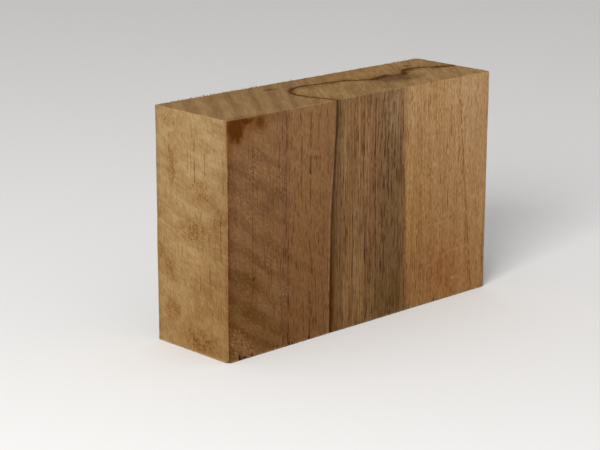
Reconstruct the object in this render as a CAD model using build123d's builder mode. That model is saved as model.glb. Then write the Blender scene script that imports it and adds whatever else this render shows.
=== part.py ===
"""Walnut block: one piece of stock, sawn square on all six faces and standing on its end grain.

Sizes are in millimetres. X runs along the long side, Y from the front face to the back face and Z up the grain.
The origin is the middle of the face that the block stands on. The front left corner is the one nearest the viewer.
"""

import os

from build123d import *

# The sawn sizes
length = 125.0
thickness = 35.0
height = 80.0

# The edges, which handling has eased a little along the grain and less across the end grain
long_grain_ease = 0.3
end_grain_ease = 0.15

# The bottom front left corner is knocked off: how far the break reaches along X, Y and Z
corner_break_x = 1.4
corner_break_y = 1.6
corner_break_z = 0.9

# Where the saw left the cut, fibres broke out of the bottom front edge, all to one depth.
# Each pocket is its place along the edge, its width across the grain and its rise up the grain.
pocket_depth = 0.7
pockets_from_left_end = [
    (4.85, 0.50, 2.0),
    (6.65, 1.60, 0.8),
    (10.35, 0.55, 1.1),
    (27.05, 0.40, 1.2),
    (28.50, 0.60, 0.7),
    (36.25, 0.45, 1.3),
]
pockets_from_right_end = [
    (27.10, 0.40, 1.5),
]

# Pockets from both ends, with their places measured from the middle of the block
pockets = [(place - length / 2, width, rise) for place, width, rise in pockets_from_left_end]
pockets += [(length / 2 - place, width, rise) for place, width, rise in pockets_from_right_end]

front = -thickness / 2

with BuildPart() as block:
    # The sawn section, carried up the grain
    with BuildSketch() as section:
        Rectangle(length, thickness)
    extrude(amount=height)

    # Eased edges: the four along the grain, then the rims of the two end-grain faces
    fillet(block.edges().filter_by(Axis.Z), radius=long_grain_ease)
    chamfer(block.faces().sort_by(Axis.Z)[-1].edges(), length=end_grain_ease)
    chamfer(block.faces().sort_by(Axis.Z)[0].edges(), length=end_grain_ease)

    # The broken corner: a plane through the three points where the break meets the edges
    break_outward = Vector(-1 / corner_break_x, -1 / corner_break_y, -1 / corner_break_z)
    break_point = (-length / 2 + corner_break_x, front, 0)
    split(bisect_by=Plane(origin=break_point, z_dir=break_outward), keep=Keep.BOTTOM)

    # The fibre pockets: each is deepest at the bottom edge and runs out to nothing up the grain
    for place, width, rise in pockets:
        with BuildSketch(Plane.YZ.offset(place)) as pocket:
            with BuildLine():
                Polyline((front, 0), (front + pocket_depth, 0), (front, rise), close=True)
            make_face()
        extrude(amount=width / 2, both=True, mode=Mode.SUBTRACT)

block.part.label = "walnut_block"

os.makedirs("parts", exist_ok=True)
export_step(block.part, "parts/walnut_block.step")
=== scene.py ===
"""Walnut block: one sawn piece of walnut that stands on its end grain, dressed for a close look.

Objects are in metres: X along the long side, Y from the front face to the back face and Z up the grain, with
the origin in the middle of the face that the block stands on. The grain is described in millimetres from the
bottom front left corner, as across (along X), deep (along Y) and high (along Z), and as down from the top.
"""

import logging
import math
from dataclasses import dataclass, field
from enum import Enum
from functools import reduce

import bpy
import numpy as np
from mathutils import Matrix, Vector


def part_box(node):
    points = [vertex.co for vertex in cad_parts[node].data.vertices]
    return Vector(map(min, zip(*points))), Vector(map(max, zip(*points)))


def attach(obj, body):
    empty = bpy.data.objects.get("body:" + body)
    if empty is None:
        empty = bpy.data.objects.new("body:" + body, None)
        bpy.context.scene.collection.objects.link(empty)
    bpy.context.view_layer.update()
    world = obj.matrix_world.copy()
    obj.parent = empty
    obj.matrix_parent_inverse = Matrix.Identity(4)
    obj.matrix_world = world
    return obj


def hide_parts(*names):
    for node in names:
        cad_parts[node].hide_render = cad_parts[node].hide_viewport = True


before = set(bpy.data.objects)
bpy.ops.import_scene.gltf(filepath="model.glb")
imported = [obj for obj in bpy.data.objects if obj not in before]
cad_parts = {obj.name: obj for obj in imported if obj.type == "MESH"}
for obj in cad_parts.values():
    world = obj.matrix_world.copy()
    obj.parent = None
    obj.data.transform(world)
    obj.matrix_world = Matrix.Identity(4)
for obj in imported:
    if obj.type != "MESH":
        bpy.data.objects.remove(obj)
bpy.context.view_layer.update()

MM = 0.001
BLOCK_NODE = "walnut_block"
GROWTH_ATTRIBUTE = "growth_line"

Socket = bpy.types.NodeSocket
Pair = tuple[float, float]
Triple = tuple[float, float, float]
Colour = Triple
Value = Socket | float | tuple[float, ...]

log = logging.getLogger("walnut block")


class Face(Enum):
    """The six sawn faces. Each holds its axis and whether it lies at the high end of that axis."""

    LEFT = (0, False)
    RIGHT = (0, True)
    FRONT = (1, False)
    BACK = (1, True)
    BASE = (2, False)
    TOP = (2, True)

    @property
    def axis(self) -> int:
        """The axis that the face is square to."""
        return self.value[0]

    @property
    def high(self) -> bool:
        """True at the high end of the axis."""
        return self.value[1]


class PortKind(Enum):
    """What a port of a shader effect carries."""

    NUMBER = "NodeSocketFloat"
    VECTOR = "NodeSocketVector"
    COLOUR = "NodeSocketColor"


@dataclass(frozen=True)
class StockSize:
    """The sawn sizes in millimetres, read from the frame's box."""

    length: float
    thickness: float
    height: float

    @classmethod
    def of_node(cls, node: str) -> "StockSize":
        """The extent of a node of the frame along each axis."""
        low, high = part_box(node)
        return cls(*[float(v) / MM for v in high - low])

    @property
    def sides(self) -> np.ndarray:
        """The three sizes as an array."""
        return np.array([self.length, self.thickness, self.height])

    @property
    def corner(self) -> np.ndarray:
        """The bottom front left corner in the row frame, in millimetres."""
        return np.array([-self.length / 2, -self.thickness / 2, 0.0])

    def in_metres(self, places: np.ndarray) -> np.ndarray:
        """Millimetres from the bottom front left corner become metres in the row frame."""
        return (places + self.corner) * MM


class SoftNoise:
    """Smooth random numbers in space: a box of random values, blended between its eight nearest cells."""

    cells = 48

    def __init__(self, seed: int) -> None:
        """Fills the box of random values from a seed."""
        self.table = np.random.default_rng(seed).uniform(-1.0, 1.0, (self.cells,) * 3)

    def at(self, places: np.ndarray, pitch: Triple) -> np.ndarray:
        """The noise at each place: its cell's corner values, weighted by the smooth step 3t^2 - 2t^3.

        Args:
            places: Places in millimetres, one row each.
            pitch: The size of a cell along each axis, in millimetres.

        Returns:
            One number from -1 to 1 for each place.
        """
        scaled = places / np.array(pitch)
        cell = np.floor(scaled).astype(int)
        t = scaled - cell
        t = t * t * (3 - 2 * t)
        total = np.zeros(len(places))
        for corner in np.ndindex(2, 2, 2):
            weight = np.prod(np.where(corner, t, 1 - t), axis=1)
            i, j, k = ((cell + corner) % self.cells).T
            total += weight * self.table[i, j, k]
        return total


def smooth_step(values: np.ndarray, low: float, high: float) -> np.ndarray:
    """0 below low, 1 above high, and 3t^2 - 2t^3 in between."""
    t = np.clip((values - low) / (high - low), 0.0, 1.0)
    return t * t * (3 - 2 * t)


def bump_over(values: np.ndarray, reach: float) -> np.ndarray:
    """A bell, e^-(v/reach)^2."""
    return np.exp(-((values / reach) ** 2))


def new_mesh_object(name: str, corners: np.ndarray, quads: np.ndarray) -> bpy.types.Object:
    """Puts corners and four-sided faces into a smooth mesh whose object sits at the origin.

    Args:
        name: The piece's name.
        corners: Corner places in metres, one row each.
        quads: Corner numbers, four to a row, anticlockwise seen from outside.

    Returns:
        The new object, linked to the scene.
    """
    mesh = bpy.data.meshes.new(name)
    mesh.vertices.add(len(corners))
    mesh.vertices.foreach_set("co", corners.astype(np.float32).ravel())
    mesh.loops.add(quads.size)
    mesh.loops.foreach_set("vertex_index", quads.astype(np.int32).ravel())
    mesh.polygons.add(len(quads))
    mesh.polygons.foreach_set("loop_start", np.arange(0, quads.size, 4, dtype=np.int32))
    mesh.update(calc_edges=True)
    mesh.shade_smooth()
    made = bpy.data.objects.new(name, mesh)
    bpy.context.scene.collection.objects.link(made)
    return made


def keep_growth(piece: bpy.types.Object, distance: np.ndarray) -> None:
    """Keeps the distance to the growth line at each corner of a piece, for its material to read."""
    kept = piece.data.attributes.new(GROWTH_ATTRIBUTE, "FLOAT", "POINT")
    kept.data.foreach_set("value", distance.astype(np.float32))


@dataclass
class GrowthLine:
    """The dark line between two years of growth, in plan, and how far it moves left down the block."""

    plan: tuple[Pair, ...] = (
        (51.5, -6), (48.6, 0), (47.4, 4.2), (45.7, 9), (44.7, 15), (46.2, 20), (49.4, 22.9), (53.5, 24.6),
        (58, 24.7), (63.6, 23.7), (69.1, 23), (73.6, 22.4), (77.3, 20.1), (80.9, 17.9), (83.8, 16.4),
        (87, 17.8), (91, 18.4), (94.5, 17.1), (97.6, 15.9), (100.2, 18.2), (103, 21), (106.4, 22.6),
        (110.9, 22.1), (114.5, 20.1), (117.3, 18.2), (120.9, 16.4), (125, 15), (131, 13.2),
    )
    bend: float = 2.1
    bend_height: float = 50.0
    drift: float = 0.6
    points_per_span: int = 8

    def path(self) -> np.ndarray:
        """The plan as a smooth path: a cubic through each pair of points, with their neighbours' slope."""
        points = np.array(self.plan)
        t = np.linspace(0, 1, self.points_per_span, endpoint=False)[None, :, None]
        before, start, end, after = (points[i:len(points) - 3 + i, None, :] for i in range(4))
        cubic = 2 * start + (end - before) * t + (2 * before - 5 * start + 4 * end - after) * t**2
        cubic = cubic + (3 * start - before - 3 * end + after) * t**3
        return np.vstack([points[:1], (cubic / 2).reshape(-1, 2), points[-2:]])

    def distance(self, places: np.ndarray, height: float) -> np.ndarray:
        """Millimetres from the line, positive on its inner, front right side.

        The nearest straight piece of the path gives the distance and the side. Down the block the line moves
        left by a smooth step over the bend's height, and by a slow drift over the whole height.

        Args:
            places: Places in millimetres from the bottom front left corner.
            height: The height of the block in millimetres.

        Returns:
            One signed distance for each place.
        """
        down = height - places[:, 2]
        plan = places[:, :2].copy()
        plan[:, 0] += self.bend * smooth_step(down, 0.0, self.bend_height) + self.drift * down / height
        path = self.path()
        nearest = np.full(len(places), np.inf)
        signed = np.zeros(len(places))
        for start, end in zip(path[:-1], path[1:]):
            run = end - start
            away = plan - start
            t = np.clip(away @ run / (run @ run), 0, 1)
            gap = np.linalg.norm(away - t[:, None] * run, axis=1)
            side = -np.sign(run[0] * away[:, 1] - run[1] * away[:, 0])
            closer = gap < nearest
            nearest = np.where(closer, gap, nearest)
            signed = np.where(closer, side * gap, signed)
        return signed


@dataclass
class BrokenCorner:
    """The knocked-off bottom front left corner: the break's reach along each axis, and its roughness."""

    reach: Triple = (1.4, 1.6, 0.9)
    roughness: float = 0.12
    pitch: Triple = (0.35, 0.35, 0.8)

    def cut(self, places: np.ndarray, noise: SoftNoise) -> np.ndarray:
        """Moves what lies outside the break straight onto it, along the break's own direction.

        Args:
            places: Places in millimetres.
            noise: Gives the torn surface.

        Returns:
            The places, none outside the break.
        """
        outward = 1 / np.array(self.reach)
        outward = outward / np.linalg.norm(outward)
        level = outward[0] * self.reach[0]
        torn = self.roughness * noise.at(places, self.pitch)
        missing = np.clip(level + torn - places @ outward, 0, None)
        return places + missing[:, None] * outward


@dataclass(frozen=True)
class Pocket:
    """Where fibres broke out of the bottom front edge: its place across, width, rise and depth."""

    across: float
    width: float
    rise: float
    depth: float = 0.7


POCKETS = (
    Pocket(4.85, 0.50, 2.0), Pocket(6.65, 1.60, 0.8), Pocket(10.35, 0.55, 1.1), Pocket(27.05, 0.40, 1.2),
    Pocket(28.50, 0.60, 0.7), Pocket(36.25, 0.45, 1.3), Pocket(97.90, 0.40, 1.5),
)


@dataclass
class BlockShell:
    """The block's surface: a closed grid over six faces, eased at its edges, with the saw's relief.

    A torn patch is its place across and down, and its reach across and down.
    """

    size: StockSize
    growth: GrowthLine
    corner: BrokenCorner
    noise: SoftNoise
    pockets: tuple[Pocket, ...] = POCKETS
    ease: Triple = (0.3, 0.3, 0.18)
    ease_play: float = 0.45
    grid: tuple[int, int, int] = (236, 62, 106)
    rim_pitch: float = 0.09
    rim_reach: float = 0.6
    pocket_pitch: float = 0.13
    line_on_front: float = 47.0
    line_pitch: float = 0.28
    corner_pitch: float = 0.3
    foot_pitch: float = 0.2
    fibre_depth: float = 0.01
    saw_depth: float = 0.025
    wander_depth: float = 0.05
    end_depth: float = 0.045
    groove_depth: float = 0.10
    groove_reach: float = 0.55
    torn_depth: float = 0.22
    torn_patches: tuple[tuple[float, ...], ...] = (
        (11.5, 16.0, 3.0, 4.5), (10.0, 29.5, 2.0, 3.0), (6.5, 75.5, 5.5, 4.5),
    )
    rim_bite: float = 0.30
    pocket_jag: float = 0.08
    pocket_fade: float = 2.0

    def lines(self, axis: int) -> np.ndarray:
        """The grid lines square to one axis, closer at the rims, the pockets and the growth line.

        Each spot has the pitch that it needs, and the lines divide the summed 1 / pitch into even shares.

        Args:
            axis: 0 across, 1 deep or 2 high.

        Returns:
            Their places in millimetres, from 0 to the side's length.
        """
        side = self.size.sides[axis]
        spots = np.linspace(0, side, 6000)
        pitch = np.full(len(spots), 1.0)
        fine = [(0.0, self.rim_reach, self.rim_pitch), (side, self.rim_reach, self.rim_pitch)]
        if axis == 0:
            fine += [(p.across, p.width / 2 + 0.2, self.pocket_pitch) for p in self.pockets]
            fine += [(self.line_on_front, 2.2, self.line_pitch)]
        if axis == 2:
            fine += [(0.0, 2.2, self.foot_pitch), (side, 1.5, self.corner_pitch)]
        else:
            fine += [(0.0, 2.0, self.corner_pitch)]
        for middle, reach, close in fine:
            pitch = np.where(np.abs(spots - middle) < reach, np.minimum(pitch, close), pitch)
        summed = np.concatenate([[0], np.cumsum(0.5 / pitch[1:] + 0.5 / pitch[:-1])])
        return np.interp(np.linspace(0, summed[-1], self.grid[axis]), summed, spots)

    def lattice(self) -> tuple[np.ndarray, np.ndarray]:
        """The corners and the four-sided faces of the closed grid, before any shaping.

        Each corner of the box's lattice that lies on its skin has one number, so neighbouring faces share
        their edge corners.

        Returns:
            Corner places in millimetres, and corner numbers four to a row, outward.
        """
        lines = [self.lines(axis) for axis in range(3)]
        counts = tuple(len(line) for line in lines)
        skin = np.zeros(counts, bool)
        for axis in range(3):
            rows = np.moveaxis(skin, axis, 0)
            rows[0] = True
            rows[-1] = True
        number = np.cumsum(skin.ravel()).reshape(counts) - 1
        places = np.stack(np.meshgrid(*lines, indexing="ij"), axis=-1)[skin]
        quads = []
        for face in Face:
            sheet = np.take(number, -1 if face.high else 0, axis=face.axis)
            ring = [sheet[:-1, :-1], sheet[1:, :-1], sheet[1:, 1:], sheet[:-1, 1:]]
            if face.high == (face.axis == 1):
                ring.reverse()
            quads.append(np.stack(ring, axis=-1).reshape(-1, 4))
        return places, np.concatenate(quads)

    def relief(self, places: np.ndarray, outward: np.ndarray) -> np.ndarray:
        """How far the surface lies under the flat, in millimetres.

        Side grain has long low fibre ridges, the saw's ripple across them and a slow wander. End grain has
        short tufts. The growth line is a shallow groove, and patches near the left of the front are torn.
        Apart from the base, the faces are lifted by the mean depth, so that they play about the flat.

        Args:
            places: Places in millimetres.
            outward: The direction that each place faces.

        Returns:
            One depth for each place.
        """
        across, deep, high = places.T
        down = self.size.height - high
        end = outward[:, 2] ** 2
        front = np.clip(-outward[:, 1], 0, 1)
        fibre = self.fibre_depth * (1 + self.noise.at(places, (1.7, 1.7, 11.0)))
        saw = self.saw_depth * (1 + self.noise.at(places, (60.0, 60.0, 1.3)))
        wander = self.wander_depth * (1 + self.noise.at(places, (21.0, 21.0, 15.0)))
        tufts = self.end_depth * (1 + self.noise.at(places, (0.9, 0.9, 4.0)))
        kerf = self.end_depth * (1 + self.noise.at(places + 7.0, (26.0, 2.1, 4.0)))
        from_line = self.growth.distance(places, self.size.height)
        groove = self.groove_depth * bump_over(from_line, self.groove_reach)
        torn = sum(
            np.exp(-(((across - a) / wide) ** 2) - ((down - d) / tall) ** 2)
            for a, d, wide, tall in self.torn_patches
        )
        chips = np.clip(self.noise.at(places, (0.7, 0.7, 1.3)), 0, 1) * self.torn_depth * torn * front
        level = (self.fibre_depth + self.saw_depth + self.wander_depth) * (1 - np.clip(-outward[:, 2], 0, 1))
        return (1 - end) * (fibre + saw + wander + chips) + end * (tufts + kerf) + groove - level

    def bites(self, places: np.ndarray) -> np.ndarray:
        """How much deeper the rims lie where fibres tore away, in short notches that fade from the rim.

        Args:
            places: Places in millimetres.

        Returns:
            One depth for each place.
        """
        across, deep, high = places.T
        from_back = self.size.thickness - deep
        from_top = self.size.height - high
        ragged = np.clip(self.noise.at(places, (0.55, 0.9, 0.9)) + 0.1, 0, 1)
        patchy = 0.45 + 0.55 * smooth_step(self.noise.at(places, (9.0, 9.0, 9.0)), -0.3, 0.4)
        back_top = bump_over(np.hypot(from_back, from_top), 0.6)
        front_base = 0.6 * bump_over(np.hypot(deep, high), 0.5)
        left_base = 0.4 * bump_over(np.hypot(across, high), 0.5)
        right_top = 0.7 * bump_over(np.hypot(self.size.length - across, from_top), 0.5)
        return self.rim_bite * ragged * patchy * (back_top + front_base + left_base + right_top)

    def shape(self, places: np.ndarray) -> np.ndarray:
        """Eases the edges, then sinks the relief, the pockets and the broken corner into the surface.

        A place in the outer layer is split into its nearest point of an inner box and the way out from it.
        The way out, over the ease, is cut to length one, which makes each edge a quarter of an ellipse.

        Args:
            places: Places on the flat faces, in millimetres.

        Returns:
            The shaped places, in millimetres.
        """
        play = 1 + self.ease_play * self.noise.at(places, (5.0, 5.0, 7.0))
        ease = np.array(self.ease) * play[:, None]
        core = np.clip(places, ease, self.size.sides - ease)
        out = (places - core) / ease
        outward = out / np.linalg.norm(out, axis=1, keepdims=True)
        depth = self.relief(places, outward) + self.bites(places)
        shaped = core + outward * (ease - depth[:, None])
        shaped = self.open_pockets(shaped)
        return self.corner.cut(shaped, self.noise)

    def open_pockets(self, places: np.ndarray) -> np.ndarray:
        """Pushes the bottom front edge back in each pocket, by its depth at the base and none at its rise.

        The push fades out inside the block, so that the base closes behind it.

        Args:
            places: Places in millimetres.

        Returns:
            The places, moved deeper inside the pockets.
        """
        across, deep, high = places.T
        pushed = deep.copy()
        for pocket in self.pockets:
            jag = self.pocket_jag * self.noise.at(places + pocket.across, (9.0, 9.0, 0.4))
            inside = np.abs(across + jag - pocket.across) < pocket.width / 2
            ramp = np.clip(1 - high / pocket.rise, 0, 1)
            fade = np.clip(1 - deep / self.pocket_fade, 0, 1)
            pushed += np.where(inside, pocket.depth * ramp * fade, 0)
        return np.column_stack([across, pushed, high])

    def build(self) -> bpy.types.Object:
        """Makes the block as one closed mesh, with the distance to the growth line kept at each corner."""
        places, quads = self.lattice()
        shaped = self.shape(places)
        block = new_mesh_object("sawn_block", self.size.in_metres(shaped), quads)
        keep_growth(block, self.growth.distance(shaped, self.size.height))
        return block


@dataclass(frozen=True)
class RimRun:
    """One stretch of a rim with loose fibres: its ends, which way they stand, and their number and size."""

    start: Triple
    end: Triple
    stand: Triple
    count: int
    longest: float
    thickest: float = 0.09


@dataclass
class RimFibres:
    """Loose fibres that the saw left along the rims: short curved hairs that taper to their tips."""

    name: str
    runs: tuple[RimRun, ...]
    size: StockSize
    growth: GrowthLine
    seed: int
    rings: int = 4
    buried: float = 0.12
    splay: float = 0.75
    curl: float = 0.35
    lowest: float = 0.02

    def hairs(self, run: RimRun, dice: np.random.Generator) -> tuple[np.ndarray, np.ndarray]:
        """The middle line and the thickness of each fibre of one stretch.

        A fibre starts a little inside the wood and ends its length away along the stretch's direction, which
        has some random splay. It bends sideways by a share of the squared distance along it. The lengths are
        the longest times the square of a random share, so most fibres are short.

        Args:
            run: The stretch.
            dice: The random numbers.

        Returns:
            Places in millimetres, by fibre and ring, and half thicknesses by fibre and ring.
        """
        start, end, stand = (np.array(v) for v in (run.start, run.end, run.stand))
        foot = start + dice.random((run.count, 1)) * (end - start)
        way = stand + self.splay * dice.uniform(-1, 1, (run.count, 3))
        way /= np.linalg.norm(way, axis=1, keepdims=True)
        aside = np.cross(way, dice.uniform(-1, 1, (run.count, 3)))
        length = run.longest * (0.25 + 0.75 * dice.random((run.count, 1)) ** 2)
        t = np.linspace(0, 1, self.rings)[None, :, None]
        line = foot[:, None] - self.buried * way[:, None]
        line = line + (length + self.buried)[:, None] * t * way[:, None]
        line = line + self.curl * length[:, None] * t**2 * aside[:, None]
        thick = run.thickest * (0.5 + 0.5 * dice.random((run.count, 1))) * (1 - 0.8 * t[..., 0])
        return line, thick

    def build(self) -> bpy.types.Object:
        """Makes all the stretches as one mesh of closed four-sided hairs.

        The four corners of a ring lie along two directions square to the fibre, at the half thickness.

        Returns:
            The new object, with the distance to the growth line kept at each corner.
        """
        dice = np.random.default_rng(self.seed)
        lines, thicks = zip(*[self.hairs(run, dice) for run in self.runs])
        line, thick = np.concatenate(lines), np.concatenate(thicks)
        along = line[:, -1] - line[:, 0]
        along /= np.linalg.norm(along, axis=1, keepdims=True)
        first = np.cross(along, (0.31, 0.87, 0.38))
        first /= np.linalg.norm(first, axis=1, keepdims=True)
        second = np.cross(along, first)
        turns = np.arange(4) * math.pi / 2
        round_it = np.cos(turns)[:, None] * first[:, None] + np.sin(turns)[:, None] * second[:, None]
        corners = line[:, :, None] + thick[:, :, None, None] * round_it[:, None]
        corners[..., 2] = np.maximum(corners[..., 2], self.lowest)
        number = np.arange(corners[..., 0].size).reshape(corners.shape[:3])
        after = np.roll(number, -1, axis=2)
        walls = np.stack([number[:, :-1], after[:, :-1], after[:, 1:], number[:, 1:]], axis=-1)
        quads = np.concatenate([walls.reshape(-1, 4), number[:, 0, ::-1], number[:, -1]])
        places = corners.reshape(-1, 3)
        made = new_mesh_object(self.name, self.size.in_metres(places), quads)
        keep_growth(made, self.growth.distance(places, self.size.height))
        return made


class Wiring:
    """Adds nodes to one node tree and joins them."""

    def __init__(self, tree: bpy.types.NodeTree) -> None:
        """Works in the given tree."""
        self.tree = tree

    def feed(self, socket: Socket, value: Value) -> None:
        """Joins a socket to another, or sets its value."""
        if isinstance(value, bpy.types.NodeSocket):
            self.tree.links.new(value, socket)
        else:
            socket.default_value = value

    def node(self, kind: str, *values: Value, **settings: object) -> bpy.types.Node:
        """Adds a node, sets its own settings and feeds its first inputs."""
        made = self.tree.nodes.new(kind)
        for name, setting in settings.items():
            setattr(made, name, setting)
        for socket, value in zip(made.inputs, values):
            self.feed(socket, value)
        return made

    def math(self, operation: str, *values: Value) -> Socket:
        """A math node over up to three values."""
        return self.node("ShaderNodeMath", *values, operation=operation).outputs[0]

    def chain(self, operation: str, values: tuple[Value, ...]) -> Socket:
        """One math operation carried on over any number of values."""
        return reduce(lambda result, value: self.math(operation, result, value), values)

    def total(self, *values: Value) -> Socket:
        """The sum of the values."""
        return self.chain("ADD", values)

    def product(self, *values: Value) -> Socket:
        """The product of the values."""
        return self.chain("MULTIPLY", values)

    def most(self, *values: Value) -> Socket:
        """The largest of the values."""
        return self.chain("MAXIMUM", values)

    def rest(self, share: Value) -> Socket:
        """What a share leaves of one."""
        return self.math("SUBTRACT", 1.0, share)

    def vector(self, operation: str, *values: Value) -> Socket:
        """A vector math node. A length comes out as a number."""
        made = self.node("ShaderNodeVectorMath", *values, operation=operation)
        return made.outputs["Value" if operation == "LENGTH" else "Vector"]

    def parts(self, vector: Socket) -> tuple[Socket, ...]:
        """The three parts of a vector."""
        return tuple(self.node("ShaderNodeSeparateXYZ", vector).outputs)

    def whole(self, x: Value, y: Value, z: Value) -> Socket:
        """A vector from its three parts."""
        return self.node("ShaderNodeCombineXYZ", x, y, z).outputs[0]

    def step(
        self, value: Value, low: Value, high: Value, to_low: Value = 0.0, to_high: Value = 1.0
    ) -> Socket:
        """A smooth step from to_low, at low, to to_high, at high. It never leaves them, so no clamp."""
        ends = (value, low, high, to_low, to_high)
        made = self.node("ShaderNodeMapRange", *ends, interpolation_type="SMOOTHSTEP", clamp=False)
        return made.outputs["Result"]

    def fall(self, value: Value, low: Value, high: Value, floor: float = 0.0) -> Socket:
        """A smooth step down from one, at low, to the floor, at high."""
        return self.step(value, low, high, 1.0, floor)

    def window(self, value: Value, rise: Pair, fall: Pair, floor: float = 0.0) -> Socket:
        """A share that rises over one stretch and falls to the floor over another, by smooth steps."""
        return self.product(self.step(value, *rise), self.fall(value, *fall, floor))

    def grains(self, place: Socket, pitch: Value, detail: float) -> bpy.types.Node:
        """A noise whose grains have the given size along each axis, in the place's own unit."""
        made = self.node("ShaderNodeTexNoise", noise_dimensions="3D")
        self.feed(made.inputs["Vector"], self.vector("DIVIDE", place, pitch))
        self.feed(made.inputs["Scale"], 1.0)
        self.feed(made.inputs["Detail"], detail)
        return made

    def noise(self, place: Socket, pitch: Value, detail: float = 2.0) -> Socket:
        """Noise from 0 to 1."""
        return self.grains(place, pitch, detail).outputs["Fac"]

    def swing(self, place: Socket, pitch: Value, detail: float = 1.0) -> Socket:
        """Noise from -0.5 to 0.5."""
        return self.math("SUBTRACT", self.noise(place, pitch, detail), 0.5)

    def jitter(self, place: Socket, pitch: Triple, reach: float) -> Socket:
        """The place, moved about by a noise of the given pitch, by up to half the reach each way."""
        split = self.node("ShaderNodeSeparateColor", self.grains(place, pitch, 2.0).outputs["Color"])
        centred = self.vector("SUBTRACT", self.whole(*split.outputs), (0.5, 0.5, 0.5))
        return self.vector("ADD", place, self.vector("MULTIPLY", centred, (reach, reach, reach)))

    def mix(self, kind: str, share: Value, first: Value, second: Value, **settings: object) -> Socket:
        """A mix node.

        Args:
            kind: Float or Color, as the node's sockets name it.
            share: How much of the second there is.
            first: The first number or colour.
            second: The second one. A colour is given as three numbers.
            settings: The node's own settings.

        Returns:
            The mixed number or colour.
        """
        made = self.node("ShaderNodeMix", clamp_factor=True, **settings)
        sockets = {socket.identifier: socket for socket in made.inputs}
        for name, given in (("Factor_Float", share), (f"A_{kind}", first), (f"B_{kind}", second)):
            self.feed(sockets[name], (*given, 1.0) if isinstance(given, tuple) else given)
        return next(socket for socket in made.outputs if socket.identifier == f"Result_{kind}")

    def blend_number(self, share: Value, first: Value, second: Value) -> Socket:
        """A number that goes from the first to the second."""
        return self.mix("Float", share, first, second, data_type="FLOAT")

    def blend(self, share: Value, first: Value, second: Value) -> Socket:
        """A colour that goes from the first to the second."""
        return self.mix("Color", share, first, second, data_type="RGBA", blend_type="MIX")

    def tint(self, share: Value, base: Value, filter_colour: Value) -> Socket:
        """A colour multiplied by a filter, by the given share."""
        return self.mix("Color", share, base, filter_colour, data_type="RGBA", blend_type="MULTIPLY")


@dataclass(frozen=True)
class Port:
    """One named input or output of an effect, and the value that an input has by itself."""

    name: str
    kind: PortKind = PortKind.NUMBER
    value: float | Triple | None = None


class Effect:
    """A shader node group with named inputs and outputs, built once and placed wherever it is used."""

    name = ""
    takes: tuple[Port, ...] = ()
    gives: tuple[Port, ...] = (Port("Mask"),)

    def wire(self, w: Wiring, given: dict[str, Socket]) -> dict[str, Socket]:
        """Adds the nodes of the effect.

        Args:
            w: Works in the group's tree.
            given: The sockets of the group's inputs, by name.

        Returns:
            What goes to each output, by name.
        """
        raise NotImplementedError

    def tree(self) -> bpy.types.NodeTree:
        """The group, built the first time that it is asked for."""
        found = bpy.data.node_groups.get(self.name)
        if found:
            return found
        tree = bpy.data.node_groups.new(self.name, "ShaderNodeTree")
        for ports, direction in ((self.takes, "INPUT"), (self.gives, "OUTPUT")):
            for port in ports:
                socket = tree.interface.new_socket(port.name, in_out=direction, socket_type=port.kind.value)
                if port.value is not None:
                    socket.default_value = port.value
        w = Wiring(tree)
        entry = w.node("NodeGroupInput")
        results = self.wire(w, {port.name: entry.outputs[port.name] for port in self.takes})
        way_out = w.node("NodeGroupOutput")
        for name, socket in results.items():
            w.feed(way_out.inputs[name], socket)
        return tree

    def place(self, w: Wiring, **values: Value) -> bpy.types.NodeOutputs:
        """Puts the effect into a tree, with a value for each input by its name in small letters.

        Args:
            w: Works in the tree that takes the effect.
            values: The inputs' values.

        Returns:
            The outputs of the new node.
        """
        made = w.node("ShaderNodeGroup", node_tree=self.tree())
        for name, value in values.items():
            w.feed(made.inputs[name.capitalize()], value)
        return made.outputs


class Vessels(Effect):
    """The wood's vessels and fibres: noise stretched up the grain, cut off at a level.

    They show as streaks on the sides and as dots on the ends. The lower the level, the more there are.
    """

    name = "vessels"
    takes = (
        Port("Place", PortKind.VECTOR), Port("Pitch", value=0.5), Port("Length", value=6.0),
        Port("Level", value=0.6), Port("Edge", value=0.06),
    )

    def wire(self, w: Wiring, given: dict[str, Socket]) -> dict[str, Socket]:
        """See Effect.wire."""
        size = w.whole(given["Pitch"], given["Pitch"], given["Length"])
        grain = w.noise(given["Place"], size, 1.5)
        return {"Mask": w.step(grain, given["Level"], w.math("ADD", given["Level"], given["Edge"]))}


class Patch(Effect):
    """A soft-edged patch: one inside an ellipsoid about a centre, and none outside its soft rim."""

    name = "patch"
    takes = (
        Port("Place", PortKind.VECTOR), Port("Centre", PortKind.VECTOR),
        Port("Reach", PortKind.VECTOR, (1.0, 1.0, 1.0)), Port("Softness", value=0.3),
    )

    def wire(self, w: Wiring, given: dict[str, Socket]) -> dict[str, Socket]:
        """See Effect.wire."""
        away = w.vector("DIVIDE", w.vector("SUBTRACT", given["Place"], given["Centre"]), given["Reach"])
        far = w.vector("LENGTH", away)
        return {"Mask": w.fall(far, w.rest(given["Softness"]), w.math("ADD", 1.0, given["Softness"]))}


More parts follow.
